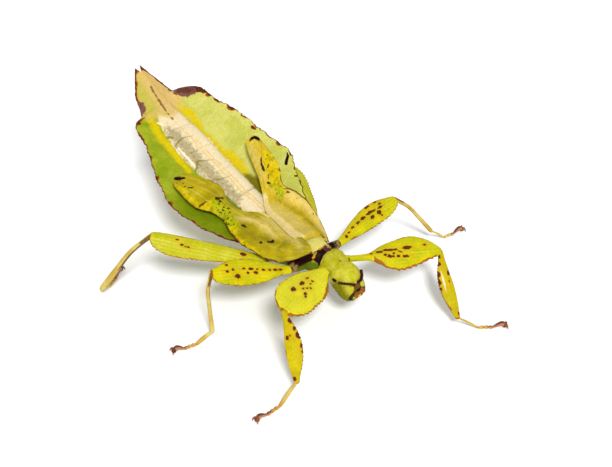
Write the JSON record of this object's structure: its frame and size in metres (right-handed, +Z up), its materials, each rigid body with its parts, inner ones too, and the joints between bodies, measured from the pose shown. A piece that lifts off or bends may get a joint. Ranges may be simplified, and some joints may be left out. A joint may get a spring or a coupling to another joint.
{
  "type": "leaf insect",
  "caption": "Still life-size leaf insect with a leaf-shaped abdomen, leafy legs and crumpled forewings, standing on its feet.",
  "frame": {"origin": "on the floor, under the middle of the whole model's box", "axes": "+Z up, the insect's head points along -Y, and its left side is towards +X"},
  "size_m": [0.0724, 0.087, 0.0305],
  "materials": {
    "leaf_body": "yellow-green cuticle with a soft waxy sheen",
    "wing": "papery yellow-green membrane with raised veins",
    "ochre_limb": "yellow to red-brown thin limbs, waxy",
    "dark_cuticle": "dark red-brown to maroon cuticle",
    "eye": "smooth and glossy dark brown"
  },
  "bodies": {
    "root": {"head": "leaf_body", "eye_left": "eye", "eye_right": "eye", "antenna_left": "dark_cuticle", "antenna_right": "dark_cuticle", "mouthparts": "dark_cuticle", "prothorax": "leaf_body", "mesothorax": "leaf_body", "metathorax": "leaf_body", "abdomen": "leaf_body", "tegmen_left": "wing", "tegmen_right": "wing", "coxa_front_left": "leaf_body", "coxa_front_right": "leaf_body", "coxa_middle_left": "dark_cuticle", "coxa_middle_right": "dark_cuticle", "coxa_hind_left": "dark_cuticle", "coxa_hind_right": "dark_cuticle", "femur_front_left": "leaf_body", "femur_front_right": "leaf_body", "femur_middle_left": "leaf_body", "femur_middle_right": "leaf_body", "femur_hind_left": "leaf_body", "femur_hind_right": "leaf_body", "tibia_front_left": "leaf_body", "tibia_front_right": "leaf_body", "tibia_middle_left": "ochre_limb", "tibia_middle_right": "ochre_limb", "tibia_hind_left": "ochre_limb", "tibia_hind_right": "ochre_limb", "tarsus_front_left": "ochre_limb", "tarsus_front_right": "ochre_limb", "tarsus_middle_left": "ochre_limb", "tarsus_middle_right": "ochre_limb", "tarsus_hind_left": "ochre_limb", "tarsus_hind_right": "ochre_limb"}
  },
  "joints": []
}
